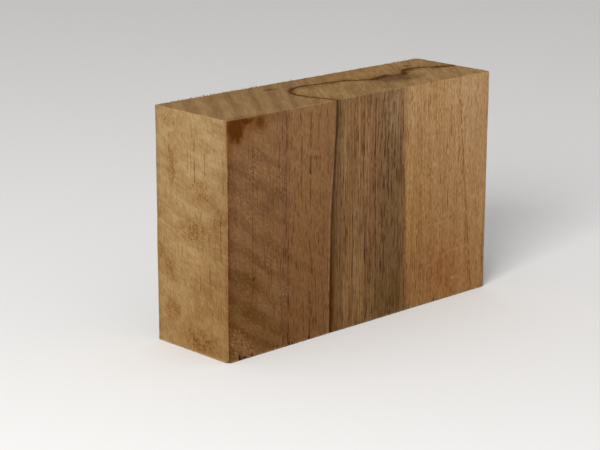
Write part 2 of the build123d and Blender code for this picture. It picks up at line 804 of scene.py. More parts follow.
class Streak(Effect):
    """A line up the grain of one face, from one depth below the top to another, leaning as it runs down.

    Run is the distance along the face, so that the same line serves the front and a side.
    """

    name = "streak"
    takes = (
        Port("Run"), Port("Down"), Port("Across", value=0.0), Port("Lean", value=0.0),
        Port("Width", value=0.4), Port("Start", value=0.0), Port("End", value=80.0),
    )
    fade = 1.2

    def wire(self, w: Wiring, given: dict[str, Socket]) -> dict[str, Socket]:
        """See Effect.wire."""
        down, width = given["Down"], given["Width"]
        middle = w.math("MULTIPLY_ADD", given["Lean"], down, given["Across"])
        off = w.math("ABSOLUTE", w.math("SUBTRACT", given["Run"], middle))
        line = w.fall(off, w.product(width, 0.4), w.product(width, 1.3))
        begun = w.step(down, w.math("SUBTRACT", given["Start"], self.fade), given["Start"])
        ended = w.fall(down, given["End"], w.math("ADD", given["End"], self.fade))
        return {"Mask": w.product(line, begun, ended)}


@dataclass(frozen=True)
class StreakMark:
    """One line up the grain: its place at the top, its ends, half width, share and filter, and its lean."""

    across: float
    start: float
    end: float
    width: float
    share: float
    filter_colour: Colour
    lean: float = 0.0


@dataclass(frozen=True)
class PatchMark:
    """One patch of another colour: its centre across, deep and down, its reach and its filter."""

    centre: Triple
    reach: Triple
    filter_colour: Colour
    share: float = 0.9
    softness: float = 0.8


def patches_on(axis: int, depth: float, rows: tuple[tuple, ...]) -> tuple[PatchMark, ...]:
    """Patches on the face that is square to an axis.

    Args:
        axis: 0 for the left face, 1 for the front and 2 for the top.
        depth: How deep the patches reach into the block.
        rows: Each patch's place along the other two axes, its reach along them, and the rest of its mark.

    Returns:
        The patches.
    """
    def spread(pair: Pair, own: float) -> Triple:
        """A pair along the other two axes, with the value along the face's own axis put in."""
        return (*pair[:axis], own, *pair[axis:])

    return tuple(PatchMark(spread(row[:2], 0.0), spread(row[2:4], depth), *row[4:]) for row in rows)


# Filters that several marks share
RED = (0.70, 0.48, 0.38)
PORE = (0.50, 0.42, 0.36)
BAND = (0.76, 0.62, 0.48)
CRACKLE = (0.81, 0.69, 0.59)
SIDE_PORE = (0.52, 0.38, 0.28)
UNCHANGED = (1.0, 1.0, 1.0)

FRONT_STREAKS = tuple(StreakMark(*row) for row in (
    (10.9, 1, 60, 0.26, 0.7, PORE), (22.5, 11, 25, 0.28, 0.7, PORE), (25.5, 2, 40, 0.26, 0.75, PORE),
    (26.4, 44, 80, 0.26, 0.8, PORE), (19.6, 18, 30, 0.25, 0.6, RED), (15.6, 30, 37, 0.25, 0.6, RED),
    (23.4, 62, 74, 0.26, 0.65, PORE), (32.5, 10, 31, 0.4, 1, RED), (31.6, 46, 58, 0.42, 1, RED, 0.1),
    (36.5, 3, 14, 0.44, 1, RED), (36.4, 17, 22.5, 0.5, 1, PORE), (36.5, 23, 32, 0.4, 0.95, RED),
    (36.3, 63, 80, 0.42, 1, RED), (40.2, 4, 11, 0.55, 0.75, RED), (40.9, 17, 22, 0.36, 0.9, RED),
    (44.4, 5, 24, 0.34, 0.8, RED), (29.4, 20, 34, 0.34, 0.6, RED), (42.6, 30, 52, 0.34, 0.55, RED),
    (39, 60, 74, 0.36, 0.6, RED), (33.4, 66, 78, 0.34, 0.65, RED), (52, 20, 28, 0.35, 0.7, PORE),
    (57, 2, 21, 0.4, 0.8, PORE), (61.2, 6, 28, 0.32, 0.75, PORE), (62.3, 42, 58, 0.4, 0.8, PORE),
    (63.4, 0, 14, 0.36, 0.85, PORE), (66.9, 2, 34, 0.4, 0.8, PORE), (70.2, 8, 16, 0.4, 0.8, PORE),
    (71.8, 8, 24, 0.55, 0.95, PORE), (73.4, 8, 28, 0.4, 0.9, PORE), (75.2, 12, 30, 0.38, 0.85, PORE),
    (76.6, 14, 27, 0.35, 0.8, PORE), (79.3, 15, 22, 0.35, 0.8, PORE), (80.7, 7, 15, 0.35, 0.8, PORE),
    (81, 26, 37, 0.35, 0.85, PORE, 0.012), (81.2, 31, 80, 0.3, 0.5, RED, 0.016),
    (70.8, 41, 47, 0.5, 0.9, PORE), (67.4, 40, 49, 0.38, 0.8, PORE), (77, 50, 55, 0.38, 0.8, PORE),
    (67.8, 66, 76, 0.42, 0.8, PORE), (90.4, 36, 70, 1.1, 0.6, BAND), (97, 0, 13, 1.3, 0.6, BAND),
    (105.2, 10, 20, 0.9, 0.6, BAND), (109.3, 0, 10, 0.55, 0.8, BAND), (110.6, 6, 14, 0.45, 0.7, BAND),
    (108.87, 10, 80, 0.5, 0.85, (0.66, 0.52, 0.39), 0.113), (107.8, 10, 80, 1.4, 0.45, BAND, 0.113),
    (101.4, 58, 74, 0.8, 0.45, BAND), (123.6, 0, 80, 0.8, 0.35, BAND), (21.5, 78.5, 80, 0.3, 0.9, PORE),
))

SIDE_STREAKS = tuple(StreakMark(*row) for row in (
    (15.7, 9, 22, 0.3, 0.95, SIDE_PORE), (10.9, 13, 19, 0.25, 0.7, SIDE_PORE),
    (28.3, 9, 14, 0.28, 0.85, SIDE_PORE), (26.3, 14, 23, 0.3, 0.8, SIDE_PORE),
    (19, 12, 19, 0.25, 0.6, SIDE_PORE), (8.6, 50, 54, 0.3, 0.8, SIDE_PORE),
    (13.2, 52, 58, 0.28, 0.7, SIDE_PORE), (17, 73, 80, 0.28, 0.85, SIDE_PORE),
    (3.2, 33, 46, 0.3, 0.75, SIDE_PORE), (2, 10, 24, 0.3, 0.6, SIDE_PORE), (27.5, 8, 30, 0.8, 0.5, CRACKLE),
))

FRONT_PATCHES = patches_on(1, 3, (
    (6, 60, 7, 10, (0.88, 0.85, 0.72), 0.9, 0.6), (16, 72.5, 7.5, 6, (0.88, 0.86, 0.74), 0.9, 0.6),
    (12.5, 23, 4.6, 2.6, (0.84, 0.81, 0.8), 0.8, 0.7), (20, 28.8, 4.8, 3, (0.74, 0.71, 0.7), 0.8, 0.7),
    (4.5, 16, 4, 4, (0.81, 0.76, 0.78), 0.8, 0.6), (20, 39, 6.5, 9, (0.98, 0.96, 0.94)),
    (25.4, 34, 1.9, 46, (0.92, 0.88, 0.97), 0.9, 0.9), (58, 14, 5, 18, (1.04, 1, 0.98), 0.9, 0.7),
    (58, 0.5, 9, 2.5, (0.9, 0.9, 0.9)), (75, 8, 5.5, 9, (1.22, 1.34, 1.51)),
    (21, 1, 6, 2.6, (0.8, 0.77, 0.77), 0.9, 0.7), (57, 68, 9, 15, (1.13, 1.13, 1.16)),
    (106, 9, 8, 15, (1.05, 1.08, 1.13)), (118.5, 12, 7, 20, (0.94, 0.92, 0.93)),
    (86, 10, 7, 13, (0.95, 0.95, 0.98)), (89, 70, 5.5, 15, (0.89, 0.88, 0.88)),
    (108, 72, 11, 16, (0.96, 0.91, 0.9)), (6, 75, 7, 5.5, (1.24, 1.29, 1.4)),
    (37, 12, 9, 15, (1.01, 1.05, 1.08)), (7, 37, 6, 9, (1.07, 1.09, 1.1)),
    (19, 62, 6, 12, (1.06, 1.09, 1.15)), (65.5, 28, 4.5, 26, (1.05, 0.96, 1.02), 0.9, 0.7),
    (71, 73, 8, 9, (0.96, 0.99, 0.9)), (79.2, 30, 1.2, 5, (0.7, 0.66, 0.6), 0.8, 0.6),
    (90, 38, 38, 17, (0.98, 0.965, 0.95)), (77.5, 72.5, 3.2, 7, (0.84, 0.82, 0.72), 0.8, 0.7),
    (105, 70, 10, 13, (1.02, 0.96, 0.93), 0.8, 0.9), (101, 68, 0.9, 9, (0.88, 0.76, 0.68), 0.7),
    (105.7, 74.5, 1.3, 6, (0.89, 0.74, 0.62), 0.75), (87, 48, 3.5, 18, (1.02, 1, 0.92), 0.9, 0.7),
    (109.5, 8.8, 0.5, 0.7, (0.46, 0.34, 0.24), 0.9, 0.5),
    (11.3, 53.5, 0.4, 0.9, (0.46, 0.34, 0.24), 0.8, 0.5),
    (38.5, 17.6, 1.2, 0.8, (0.72, 0.62, 0.44), 0.7, 0.5),
))

SIDE_PATCHES = patches_on(0, 3, (
    (27, 19, 2.4, 6, CRACKLE, 0.65, 1), (12.5, 25.5, 5.6, 2.8, CRACKLE, 0.75, 1),
    (15, 39.5, 7.4, 3.8, CRACKLE, 0.9, 0.9), (33, 49, 2.8, 2.6, CRACKLE, 0.65, 1),
    (33.5, 34.5, 2.6, 2.4, CRACKLE, 0.6, 1), (4.5, 33, 3.2, 3.4, CRACKLE, 0.7, 1),
    (28, 53.5, 2.6, 3.8, CRACKLE, 0.7, 1), (27, 67.5, 3.8, 3.4, CRACKLE, 0.8, 1),
    (13, 75.5, 9, 3.4, CRACKLE, 0.8, 1), (29.5, 3.5, 3.2, 2.4, CRACKLE, 0.55, 1),
    (16, 7, 2.6, 2.2, CRACKLE, 0.5, 1), (8, 58, 8, 6.5, (0.88, 0.81, 0.8), 0.9, 0.9),
    (10, 66, 12, 14, (0.89, 0.83, 0.75), 0.9, 0.9), (4, 42, 5, 16, (0.86, 0.79, 0.75), 0.9, 0.9),
    (14, 79, 12, 2.6, (0.92, 0.86, 0.8), 0.8), (22, 12, 10, 14, (1.08, 1.11, 1.13)),
    (6, 11, 7, 11, (1.07, 1.1, 1.14)), (29, 33, 8, 9, (1.04, 1.06, 1.06)),
    (16, 48, 9, 3.4, (1.08, 1.09, 1.1)), (24, 61, 9, 3.2, (1.08, 1.1, 1.12)),
))

END_PATCHES = patches_on(2, 3, (
    (86.5, 17.9, 4.5, 1.8, (0.57, 0.52, 0.35), 1, 0.5), (90.5, 19.6, 2.8, 1.1, (0.46, 0.38, 0.22), 1, 0.6),
    (99.6, 17.6, 2.6, 1.2, (0.47, 0.43, 0.3), 0.9, 0.6), (95, 17.4, 5, 2.6, (0.84, 0.8, 0.78)),
    (90.6, 13.4, 8.4, 5.5, (0.47, 0.4, 0.41), 0.95), (75, 23.2, 3.4, 1.4, (0.64, 0.54, 0.44), 0.4, 0.7),
    (106.5, 20.8, 4.4, 2.2, (0.51, 0.43, 0.37)), (118, 17.2, 4.8, 1.9, (0.52, 0.43, 0.35), 0.85, 0.7),
    (44.4, 27.6, 2.6, 1.3, (0.58, 0.45, 0.26), 0.9, 0.7),
    (110.4, 26.6, 1.8, 1.4, (0.58, 0.46, 0.26), 0.9, 0.7), (7, 0.6, 8, 1.4, (0.72, 0.62, 0.56), 0.6),
    (57, 13, 7, 8, (1.1, 1.13, 1.04), 0.8, 0.7), (71, 7, 11, 6, (0.94, 0.9, 0.92), 0.8),
    (77, 30, 14, 5, (1.06, 1.03, 0.92)), (113, 30, 13, 6, (1.23, 1.19, 1.14)),
    (89.5, 26, 9, 8, (1.2, 1.13, 1.08)), (60, 21.8, 11, 2.4, (0.8, 0.79, 0.79)),
))

FLECKED = patches_on(1, 2, (
    (11.5, 16, 3.5, 5, UNCHANGED, 1, 0.6), (9.5, 29.5, 3.5, 4.5, UNCHANGED, 0.8, 0.6),
    (6.5, 75, 6.5, 6, UNCHANGED, 1, 0.6), (23.5, 24, 3, 7, UNCHANGED, 0.7, 0.6),
    (18, 48, 6, 6, UNCHANGED, 0.5, 0.6), (24, 62, 3, 6, UNCHANGED, 0.6, 0.6),
))

NICKS = patches_on(1, 1.5, (
    (97, 19.6, 2.4, 0.35, UNCHANGED, 0.5), (97.3, 30, 0.9, 0.45, UNCHANGED),
    (118.4, 44.8, 1.4, 0.4, UNCHANGED, 0.8), (99, 51.3, 4.5, 0.3, UNCHANGED, 0.4),
    (111, 51, 1.4, 0.35, UNCHANGED, 0.5), (108.8, 62.6, 1.4, 0.35, UNCHANGED, 0.8),
    (113.6, 62.4, 1.8, 0.4, UNCHANGED), (95, 66, 2, 0.35, UNCHANGED, 0.6), (108.2, 73, 1.5, 0.4, UNCHANGED),
))


@dataclass(frozen=True)
class WalnutTones:
    """The colours of this block's wood, as linear red, green and blue."""

    outer: Colour = (0.325, 0.170, 0.074)
    grey: Colour = (0.370, 0.218, 0.101)
    olive: Colour = (0.320, 0.193, 0.092)
    tan: Colour = (0.573, 0.347, 0.157)
    # Partly the side grain's own paler, yellower colour and partly painted light: the sides are lighter, as
    # if more strongly lit than the front.
    side: Colour = (0.376, 0.256, 0.122)
    end: Colour = (0.308, 0.196, 0.087)
    end_inner: Colour = (0.370, 0.238, 0.104)
    line: Colour = (0.062, 0.031, 0.012)
    line_low: Colour = (0.062, 0.019, 0.002)
    end_line: Colour = (0.077, 0.034, 0.010)
    resin: Colour = (0.094, 0.026, 0.003)
    resin_rim: Colour = (0.186, 0.078, 0.022)
    pale: Colour = (0.520, 0.350, 0.180)
    fibre: Colour = (0.520, 0.380, 0.220)


class Fields:
    """Where a place is in the block, as the shader sees it: millimetres, and masks from 0 to 1."""

    def __init__(self, w: Wiring, size: StockSize, place: Socket, growth: Socket) -> None:
        """Works out the fields that the wood is painted by.

        Args:
            w: Works in the tree of the wood.
            size: The block's sizes.
            place: Millimetres from the bottom front left corner.
            growth: Millimetres from the growth line.
        """
        length, height = size.length, size.height
        across, deep, high = w.parts(place)
        down = w.math("SUBTRACT", height, high)
        self.place, self.growth, self.down = place, growth, down
        self.across, self.deep, self.high = across, deep, high
        self.side = w.most(w.fall(across, 0.03, 0.25), w.step(across, length - 0.25, length - 0.03))
        self.end = w.most(w.step(high, height - 0.25, height - 0.06), w.fall(high, 0.06, 0.25))
        self.ragged = w.noise(place, (2.4, 2.4, 3.6), 3.0)
        off = w.math("SUBTRACT", self.ragged, 0.5)
        self.inner = w.step(growth, -0.3, 0.5)
        self.outer = w.rest(self.inner)
        bound = w.total(across, w.product(off, 2.4), w.product(down, -0.030), w.product(deep, -0.42))
        soft = w.step(down, 0.0, 36.0, 3.4, 1.1)
        past = w.step(bound, w.math("SUBTRACT", 81.2, soft), w.math("ADD", 81.2, soft))
        self.in_tan = w.product(past, self.inner)
        self.grey_zone = w.product(self.inner, w.rest(self.in_tan))
        self.dense = w.product(
            w.step(across, 63.0, 71.5), w.fall(across, 75.5, 80.0, 0.35), self.grey_zone
        )
        fallen = w.total(high, w.product(across, 0.68), w.product(deep, -0.35))
        self.ragged_place = w.jitter(place, (2.6, 2.6, 3.4), 5.0)
        self.fine_place = w.jitter(place, (0.9, 0.9, 1.2), 1.0)
        self.fallen_place = w.whole(across, deep, fallen)
        self.warped = w.jitter(place, (5.0, 5.0, 16.0), 0.9)
        self.front = w.fall(deep, 0.05, 0.45)
        self.flank = w.rest(self.end)


class WoodPainter:
    """Paints the block's wood in one node tree, layer over layer, and keeps the relief of its fine grain."""

    band_pitch = 9.0
    band_start = 4.4
    end_band_pitch = 8.7
    end_band_start = 5.3
    resin_depth = 2.6
    small_reach = 2.5

    def __init__(
        self, w: Wiring, size: StockSize, tones: WalnutTones, place: Socket, growth: Socket
    ) -> None:
        """Starts from grey wood, at a place and its distance from the growth line in millimetres."""
        self.w = w
        self.size = size
        self.tones = tones
        self.vessels = Vessels()
        self.patch = Patch()
        self.streak = Streak()
        self.f = Fields(w, size, place, growth)
        self.wood: Value = tones.grey
        self.reliefs: list[Socket] = []

    def tint(self, filter_colour: Value, *shares: Value) -> None:
        """Lays a filter over the wood, by the product of some shares."""
        self.wood = self.w.tint(self.w.product(*shares), self.wood, filter_colour)

    def cover(self, colour: Value, *shares: Value) -> None:
        """Blends the wood into a colour, by the product of some shares."""
        self.wood = self.w.blend(self.w.product(*shares), self.wood, colour)

    def pores(self, place: Socket, pitch: float, length: float, level: Value, edge: float) -> Socket:
        """The mask of one kind of vessel or fibre."""
        return self.vessels.place(
            self.w, place=place, pitch=pitch, length=length, level=level, edge=edge
        )["Mask"]

    def patched(self, patch: PatchMark) -> Socket:
        """The mask of one patch. A small patch has a finer raggedness than a large one."""
        across, deep, down = patch.centre
        centre = (across, deep, self.size.height - down)
        large = sorted(patch.reach)[1] > self.small_reach
        place = self.f.ragged_place if large else self.f.fine_place
        return self.patch.place(
            self.w, place=place, centre=centre, reach=patch.reach, softness=patch.softness
        )["Mask"]

    def spots(self, patches: tuple[PatchMark, ...], where: Socket) -> Socket:
        """The mask of some patches on one face, by the strongest at each place."""
        return self.w.most(*[self.w.product(self.patched(p), p.share, where) for p in patches])

    def stained(self, softness: float, *spots: tuple[float, ...]) -> Socket:
        """The mask of some spots near the front, each as across and down and its reach along both."""
        marks = patches_on(1, self.resin_depth, tuple((*spot, UNCHANGED, 1.0, softness) for spot in spots))
        return self.w.most(*[self.patched(mark) for mark in marks])

    def pocket_shade_mask(self, pocket: Pocket) -> Socket:
        """The mask of the painted shade inside one fibre pocket, whose recess gets little light."""
        reach = (pocket.width * 0.9, 1.6, pocket.rise * 1.25)
        centre = (pocket.across, 0.0, 0.0)
        made = self.patch.place(self.w, place=self.f.place, centre=centre, reach=reach, softness=0.35)
        return made["Mask"]

    def ray_place(self) -> Socket:
        """The place in the ends' own directions: across the rays, which slant, and along them."""
        w, f = self.w, self.f
        crossed = w.math("SUBTRACT", f.across, w.product(f.deep, 0.75))
        along = w.total(f.deep, w.product(f.across, 0.75))
        return w.whole(crossed, along, f.high)

    def banded(self, distance: Socket, pitch: float, start: float, sway: Socket) -> Socket:
        """Soft bands at an even pitch along a distance, the first at the start, swayed by some radians."""
        w = self.w
        angle = w.math("MULTIPLY_ADD", distance, math.tau / pitch, math.pi / 2 - math.tau * start / pitch)
        return w.step(w.math("SINE", w.total(angle, sway)), -0.6, 0.95)

    def ground(self) -> None:
        """The wood's colour: outer wood, grey zone and tan zone, with paler sides, partly painted light,
        duller ends, and painted shade towards the bottom.
        """
        w, f, tones = self.w, self.f, self.tones
        mottled = w.step(w.noise(f.place, (2.4, 3.0, 9.0), 2.5), 0.32, 0.68, 0.45, 1.0)
        olive = w.product(w.step(f.across, 58.0, 73.0), w.step(f.down, 2.0, 30.0), mottled)
        self.cover(tones.olive, olive)
        self.tint((0.86, 0.84, 0.84), f.dense)
        self.cover(w.tint(w.step(f.across, 100.0, 115.0), tones.tan, (1.08, 1.13, 1.22)), f.in_tan)
        self.cover(tones.outer, f.outer)
        self.tint((1.03, 1.01, 0.98), w.window(f.across, (25.0, 29.0), (33.0, 40.0), 0.3), f.outer)
        self.tint((0.91, 0.90, 0.88), w.fall(f.across, 10.0, 24.0, 0.3), f.outer)
        # The sides' tone is partly painted light: it is lighter, as if the sides were more strongly lit than
        # the front.
        self.cover(tones.side, f.side, 0.95)
        self.tint((0.92, 0.90, 0.89), f.side, w.fall(f.deep, 1.0, 17.0))
        self.cover(w.blend(f.inner, tones.end, tones.end_inner), f.end, 0.95)
        # Painted shade: the front, back and sides darken and warm towards the bottom, as the light falls off
        # down the block.
        painted_falloff = w.blend(f.in_tan, (0.73, 0.67, 0.59), (0.70, 0.60, 0.50))
        painted_falloff = w.blend(f.side, painted_falloff, (0.94, 0.88, 0.76))
        self.tint(painted_falloff, w.step(f.down, -10.0, 95.0), f.flank, 1.15)

    def figure(self) -> None:
        """The curly figure, as bands: they fall to the right on the sides and cross the ends at 45 degrees.

        Each is a sine of a slanting distance, swayed by a slow noise. The sides are mottled besides.
        """
        w, f = self.w, self.f
        strength = w.step(w.noise(f.place, (17.0, 17.0, 12.0), 1.0), 0.36, 0.60, 0.5, 1.0)
        fallen = w.parts(f.fallen_place)[2]
        sway = w.product(w.swing(f.fallen_place, (15.0, 15.0, 8.0)), 7.0)
        wave = self.banded(fallen, self.band_pitch, self.band_start, sway)
        curly = w.product(w.step(f.across, 14.0, 34.0, 0.9, 0.3), f.outer, w.rest(f.side))
        curly = w.most(curly, 0.15)
        band = w.product(wave, strength, curly, w.step(f.down, 2.0, 16.0, 0.4, 1.0), f.flank)
        filtered = w.blend(w.step(f.down, 30.0, 56.0), (0.78, 0.74, 0.77), (0.70, 0.65, 0.47))
        self.tint(w.blend(f.side, filtered, (0.84, 0.79, 0.70)), band)
        lumps = w.step(w.noise(f.fallen_place, (5.0, 4.0, 1.1), 2.5), 0.38, 0.62)
        lump_share = w.most(w.product(curly, 0.55), w.product(f.side, 0.55))
        self.tint((0.80, 0.76, 0.72), lumps, lump_share, f.flank)
        clouds = w.step(w.noise(f.place, (9.0, 9.0, 4.5), 2.5), 0.40, 0.60)
        self.tint((0.90, 0.84, 0.79), clouds, f.side, f.flank)
        end_place = self.ray_place()
        crossed = w.parts(end_place)[0]
        end_sway = w.product(w.swing(end_place, (9.0, 40.0, 60.0)), 5.0)
        end_wave = self.banded(crossed, self.end_band_pitch, self.end_band_start, end_sway)
        self.tint((0.76, 0.68, 0.72), end_wave, f.end, w.step(f.across, 38.0, 60.0, 0.68, 0.25))
        rays = w.step(w.noise(end_place, (1.5, 11.0, 30.0), 3.0), 0.36, 0.62)
        self.tint((0.80, 0.76, 0.72), rays, f.end, w.step(f.across, 38.0, 60.0, 0.62, 0.85))
        fine_rays = w.step(w.noise(end_place, (0.55, 7.0, 30.0), 1.5), 0.40, 0.60)
        self.tint((0.86, 0.84, 0.82), fine_rays, f.end, w.step(f.across, 38.0, 60.0, 0.35, 0.7))

    def marks(self) -> None:
        """The patches and streaks of this block, one after another, each as a filter over the wood."""
        w, f = self.w, self.f
        rubbed = w.product(f.side, w.step(f.ragged, 0.36, 0.62, 0.45, 1.0))
        for patches, where in ((FRONT_PATCHES, f.front), (SIDE_PATCHES, rubbed), (END_PATCHES, f.end)):
            for patch in patches:
                self.tint(patch.filter_colour, self.patched(patch), patch.share, where)
        broken = w.step(w.noise(f.place, (0.8, 0.8, 2.6)), 0.38, 0.56, 0.2, 1.0)
        across, deep, high = w.parts(f.warped)
        down = w.math("SUBTRACT", self.size.height, high)
        for streaks, where, run in ((FRONT_STREAKS, f.front, across), (SIDE_STREAKS, f.side, deep)):
            for mark in streaks:
                mask = self.streak.place(
                    w, run=run, down=down, across=mark.across, lean=mark.lean, width=mark.width,
                    start=mark.start, end=mark.end,
                )["Mask"]
                self.tint(mark.filter_colour, mask, broken, mark.share, where, f.flank)

    def edges(self) -> None:
        """The front's golden brown left arris, its pale rims, painted rim light on the sides and painted
        shade in the pockets.
        """
        w, f = self.w, self.f
        broken = w.step(f.ragged, 0.35, 0.60, 0.35, 1.0)
        strip = w.product(w.fall(f.across, 1.0, 4.5), w.step(f.across, 0.02, 0.12), f.front, f.flank)
        self.tint((0.84, 0.78, 0.70), strip)
        line = w.product(w.fall(f.across, 0.4, 1.1), w.step(f.across, 0.02, 0.12), f.front, f.flank)
        self.tint((0.72, 0.62, 0.42), line, broken)
        self.tint((0.87, 0.82, 0.77), f.side, w.fall(f.deep, 0.5, 2.4))
        # Painted rim light: the sides turn cooler and greyer towards their back edge, standing in for light
        # that the back arris catches.
        self.tint((0.80, 0.87, 0.90), f.side, w.step(f.deep, 32.0, 35.0))
        # Pale rims: at the bottom from wear, at the top partly wear and partly a painted highlight along the
        # edge that faces the light.
        low = w.fall(f.high, 0.2, 0.85)
        high = w.fall(f.down, 0.10, 0.45)
        worn_and_highlit_rim = w.most(w.product(low, 0.55), w.product(high, 0.3))
        self.cover(self.tones.pale, worn_and_highlit_rim, broken, f.flank)
        # Painted shade: the fibre pockets are darkened, because light hardly reaches into them.
        shaded_pockets = w.most(*[self.pocket_shade_mask(pocket) for pocket in POCKETS])
        self.tint((0.26, 0.16, 0.12), shaded_pockets, f.flank)

    def grain(self) -> None:
        """The pores and fibres: long fine lines and dark pores in the grey zone, brown ones elsewhere."""
        w, f = self.w, self.f
        shifted = w.vector("ADD", f.warped, (31.0, 17.0, 5.0))
        plain = w.product(w.step(f.across, 14.0, 28.0, 0.44, 0.95), f.outer)
        plain = w.blend_number(f.side, plain, 0.42)
        tan_amount = w.product(f.in_tan, w.fall(f.across, 104.0, 118.0, 0.85))
        inside = w.total(w.product(f.grey_zone, 0.88), tan_amount)
        amount = w.total(plain, w.product(inside, w.rest(f.side)))
        amount = w.product(amount, w.fall(f.end, 0.0, 1.0, 0.6))
        hair = self.pores(f.warped, 0.41, 1.9, 0.38, 0.26)
        lines = self.pores(f.warped, 0.50, 45.0, 0.40, 0.20)
        wide = self.pores(shifted, 2.3, 30.0, 0.42, 0.22)
        sparse = w.total(w.product(f.in_tan, 0.03), w.product(w.step(f.across, 26.0, 30.0), f.outer, 0.03))
        streak_level = w.total(0.57, w.product(f.dense, -0.03), sparse)
        streak = self.pores(shifted, 0.46, 3.6, streak_level, 0.08)
        pore_level = w.total(0.61, w.product(f.dense, -0.03), sparse)
        pore = self.pores(shifted, 0.42, 6.0, pore_level, 0.05)
        dark = w.blend(f.side, (0.56, 0.42, 0.34), (0.60, 0.46, 0.34))
        dark = w.blend(f.grey_zone, w.blend(f.in_tan, dark, (0.66, 0.49, 0.35)), (0.42, 0.35, 0.29))
        hair_share = w.total(0.9, w.product(f.grey_zone, -0.35), w.product(f.end, 0.3))
        self.tint((0.73, 0.70, 0.67), hair, hair_share, amount)
        lined = (w.product(f.grey_zone, 0.85), w.product(f.dense, -0.4), w.product(f.in_tan, 0.2))
        long_share = w.total(*lined, 0.15)
        long_dark = w.blend(f.grey_zone, (0.74, 0.66, 0.58), (0.62, 0.57, 0.52))
        self.tint(long_dark, lines, long_share, amount)
        wide_share = w.total(w.product(f.in_tan, 0.5), w.product(f.grey_zone, 0.45), 0.1)
        self.tint((0.84, 0.77, 0.70), wide, wide_share, amount)
        self.tint(w.blend(0.4, dark, UNCHANGED), streak, 0.7, amount)
        self.tint(dark, pore, 0.95, amount)
        relief = w.total(w.product(pore, -0.10), w.product(streak, -0.05), w.product(hair, -0.03))
        self.reliefs.append(w.product(relief, amount))

    def flecks(self) -> None:
        """Torn grain as pale and dark flecks, specks on the left face, and the saw's pale nicks."""
        w, f, pale = self.w, self.f, self.tones.pale
        torn = self.spots(FLECKED, f.front)
        worn = w.product(w.step(f.across, 14.0, 27.0, 0.35, 0.0), f.outer, f.front)
        torn = w.most(torn, worn)
        fine = w.noise(f.fallen_place, (1.3, 0.8, 0.6))
        light = w.product(w.step(fine, 0.57, 0.66), torn)
        dark = w.product(w.step(fine, 0.44, 0.36), torn)
        self.cover(pale, light, 0.42)
        self.tint((0.60, 0.50, 0.44), dark, 0.80)
        torn_side = tuple(patch for patch in SIDE_PATCHES if patch.filter_colour == CRACKLE)
        crackled = w.product(self.spots(torn_side, f.side), w.step(f.ragged, 0.3, 0.6, 0.5, 1.0))
        crackled = w.most(crackled, w.product(f.side, 0.15))
        vein = w.math("ABSOLUTE", w.swing(f.place, (1.0, 1.0, 1.2), 1.5))
        vein = w.product(w.fall(vein, 0.0, 0.07), crackled)
        self.tint((0.60, 0.45, 0.32), vein, 1.5)
        nick = w.product(self.spots(NICKS, f.front), w.step(fine, 0.38, 0.58, 0.55, 1.0))
        self.cover(pale, nick, 0.48)
        raised = ((light, 0.08), (dark, -0.10), (nick, 0.06), (vein, -0.04))
        self.reliefs.append(w.total(*[w.product(mask, height) for mask, height in raised]))

    def growth_line(self) -> None:
        """The dark line, sharp on its outer side, with a shadow inwards and a stain on the ends."""
        w, f, tones = self.w, self.f, self.tones
        uneven = w.step(f.ragged, 0.35, 0.65)
        foot = w.product(w.step(f.down, 46.0, 76.0), f.flank)
        smeared = w.swing(self.ray_place(), (0.8, 4.5, 30.0), 2.0)
        growth = w.math("ADD", f.growth, w.product(smeared, f.end, 2.2))
        widened = w.product(f.end, w.step(f.across, 50.0, 80.0, -0.10, 0.3))
        stop = w.total(0.75, w.product(uneven, 0.5), widened, w.product(foot, 0.75))
        start = w.product(f.end, w.step(f.across, 50.0, 80.0, -0.35, -0.6))
        line = w.step(growth, w.math("SUBTRACT", start, 0.5), w.math("SUBTRACT", start, 0.05))
        line = w.product(line, w.fall(growth, w.product(stop, 0.3), stop))
        low = w.product(w.step(f.down, 10.0, 66.0), f.flank)
        colour = w.blend(f.end, w.blend(low, tones.line, tones.line_low), tones.end_line)
        shade_reach = w.step(f.down, 15.0, 45.0, 4.4, 7.0)
        shade = w.product(w.fall(f.growth, 0.0, shade_reach), w.step(f.growth, -0.2, 0.1))
        shade = w.product(shade, w.step(f.down, 0.0, 40.0, 0.74, 1.0), f.flank)
        shaded = w.blend(w.step(f.down, 8.0, 50.0), (0.58, 0.57, 0.56), (0.54, 0.50, 0.44))
        self.tint(shaded, shade)
        stain = w.product(w.step(growth, -1.8, -0.7), w.fall(growth, 0.6, 2.8), f.end)
        self.tint((0.77, 0.67, 0.53), stain, 0.8)
        beside = w.product(w.step(f.growth, -1.2, -0.8), w.fall(f.growth, -0.5, -0.2), f.flank)
        self.cover(tones.pale, beside, w.step(f.down, 16.0, 30.0), uneven, 0.3)
        darkest = w.window(f.across, (80.0, 90.0), (106.0, 113.0))
        faintest = w.step(f.across, 54.0, 62.0, 0.92, 0.70)
        faint = w.blend_number(darkest, w.blend_number(uneven, 0.94, faintest), 0.96)
        gap = w.window(f.across, (91.0, 93.0), (97.0, 99.0))
        faint = w.product(faint, w.blend_number(gap, 1.0, 0.45))
        solid = w.blend_number(w.window(f.down, (16.0, 32.0), (48.0, 62.0)), 0.94, 0.71)
        self.cover(colour, line, w.blend_number(f.end, solid, faint))

